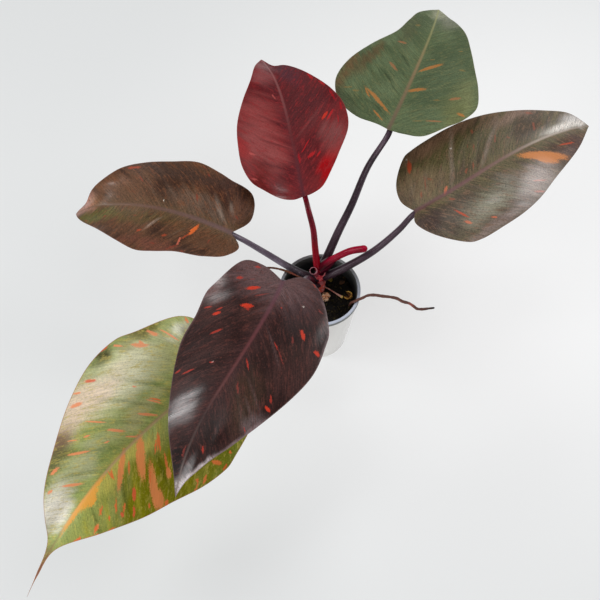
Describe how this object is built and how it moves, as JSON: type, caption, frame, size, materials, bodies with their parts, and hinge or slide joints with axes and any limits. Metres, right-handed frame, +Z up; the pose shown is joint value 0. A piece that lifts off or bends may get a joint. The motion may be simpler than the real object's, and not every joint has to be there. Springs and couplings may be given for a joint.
{
  "type": "potted philodendron",
  "caption": "Young climbing philodendron with dark, orange-flecked heart-shaped leaves, in a thin grow pot standing in a round white pot.",
  "frame": {"origin": "centre of the outer pot's flat underside", "axes": "+Z up; the pictured side faces -Y; +X to its right"},
  "size_m": [0.636, 0.7425, 0.2983],
  "materials": {
    "white_pot": "glossy white",
    "grow_pot": "satin blue-grey",
    "potting_mix": "matt, crumbly",
    "stem": "waxy crimson",
    "stub": "pale cut edge, dark bore",
    "new_leaf": "glossy crimson",
    "sheath": "glossy crimson",
    "stalk_plum": "glossy dark plum",
    "stalk_crimson": "glossy crimson",
    "aerial_root": "satin brown",
    "rootlet": "satin, pale",
    "blade_left": "waxy olive brown",
    "blade_top": "glossy wine red",
    "blade_top_right": "waxy dull green",
    "blade_right": "waxy brown green with an orange patch",
    "blade_front": "waxy near-black with orange flecks",
    "blade_lower_left": "waxy green with salmon",
    "bark_tan": "matt",
    "bark_dark": "matt",
    "bark_olive": "matt",
    "bark_gold": "satin"
  },
  "bodies": {
    "root": {"outer_pot": "white_pot", "grow_pot": "grow_pot", "potting_mix": "potting_mix", "stem": "stem", "cut_stalk_stub": "stub", "new_leaf_roll": "new_leaf", "leaf_stalk_top": "stalk_crimson", "leaf_stalk_left": "stalk_plum", "leaf_stalk_right": "stalk_plum", "leaf_stalk_top_right": "stalk_plum", "leaf_stalk_front": "stalk_plum", "leaf_stalk_lower_left": "stalk_plum", "new_leaf_sheath": "sheath", "aerial_root_right": "aerial_root", "aerial_root_left": "aerial_root", "rootlet": "rootlet", "leaf_blade_left": "blade_left", "leaf_blade_top": "blade_top", "leaf_blade_top_right": "blade_top_right", "leaf_blade_right": "blade_right", "leaf_blade_front": "blade_front", "leaf_blade_lower_left": "blade_lower_left", "bark_chip_tan": "bark_tan", "bark_chip_brown": "bark_dark", "bark_chip_olive": "bark_olive", "bark_chip_front": "bark_dark", "bark_chip_left": "bark_dark", "bark_curl": "bark_gold"}
  },
  "joints": []
}
